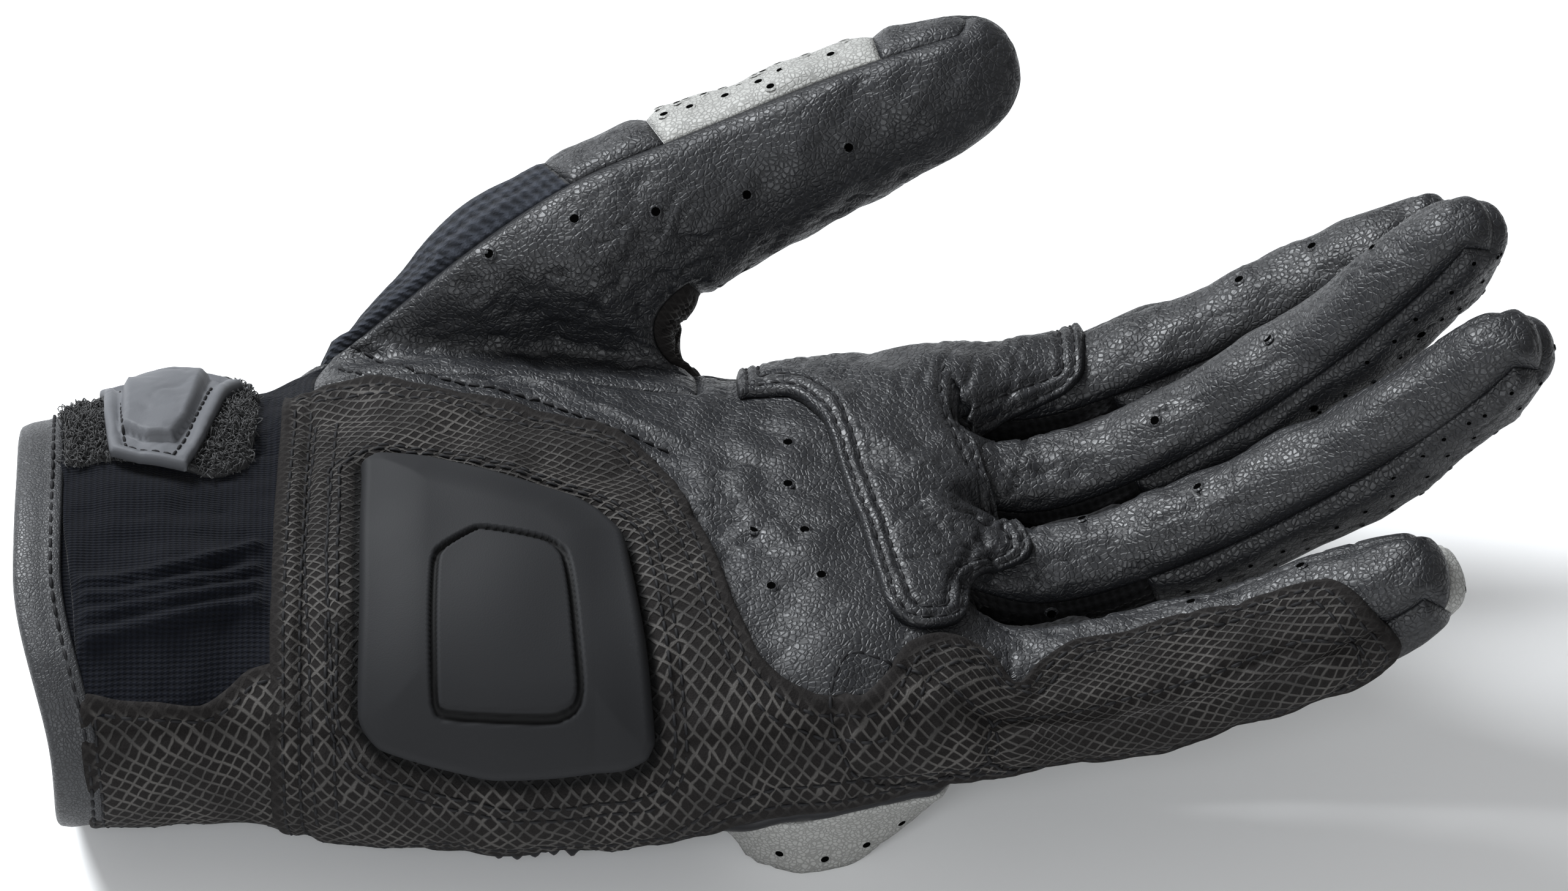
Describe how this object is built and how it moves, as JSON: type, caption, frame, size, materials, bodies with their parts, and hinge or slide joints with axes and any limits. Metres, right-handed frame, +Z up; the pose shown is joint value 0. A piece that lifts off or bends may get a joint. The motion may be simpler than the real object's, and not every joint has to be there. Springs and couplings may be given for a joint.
{
  "type": "short-cuff motorcycle glove, left hand",
  "caption": "Left-hand short motorcycle glove in black leather, with a rubber palm slider, textile heel, wrist strap and grey perforated finger backs.",
  "frame": {"origin": "middle of the box at the floor, under the glove lying on its back", "axes": "+X from the cuff to the fingertips, +Y towards the thumb, +Z up out of the palm"},
  "size_m": [0.2502, 0.1396, 0.0852],
  "materials": {
    "black_leather": "fine pebble grain, satin",
    "cuff_leather": "smooth, satin",
    "grey_leather": "perforated, matte",
    "heel_textile": "suede with a raised net",
    "black_knit": "stretch knit",
    "loop_pile": "loop pile",
    "slider_rubber": "matte",
    "tab_rubber": "matte",
    "black_rubber": "satin"
  },
  "bodies": {
    "root": {"palm_leather": "black_leather", "hand_back": "black_leather", "cuff_front": "black_knit", "cuff_back": "black_leather", "gusset_index_middle": "black_knit", "gusset_middle_ring": "black_knit", "gusset_ring_little": "black_knit", "index_outer_side": "black_leather", "index_inner_side": "black_leather", "middle_outer_side": "black_leather", "middle_inner_side": "black_leather", "ring_outer_side": "black_leather", "ring_inner_side": "black_leather", "little_outer_side": "black_leather", "little_inner_side": "black_leather", "index_back": "grey_leather", "middle_back": "grey_leather", "ring_back": "grey_leather", "little_back": "grey_leather", "thumb_front": "black_leather", "thumb_rib_insert": "black_knit", "thumb_joint_band": "black_leather", "thumb_back": "grey_leather", "thumb_tip_cap": "black_leather", "thumb_side": "black_leather", "thumb_crotch": "heel_textile", "heel_panel": "heel_textile", "palm_slider": "slider_rubber", "knuckle_overlay": "black_leather", "wrist_elastic": "black_knit", "cuff_textile": "heel_textile", "loop_patch": "loop_pile", "strap_tab": "tab_rubber", "wrist_strap": "cuff_leather", "knuckle_guard_rim": "black_rubber", "knuckle_guard_cover": "grey_leather", "ribbed_block": "black_rubber", "cuff_binding": "cuff_leather"}
  },
  "joints": []
}
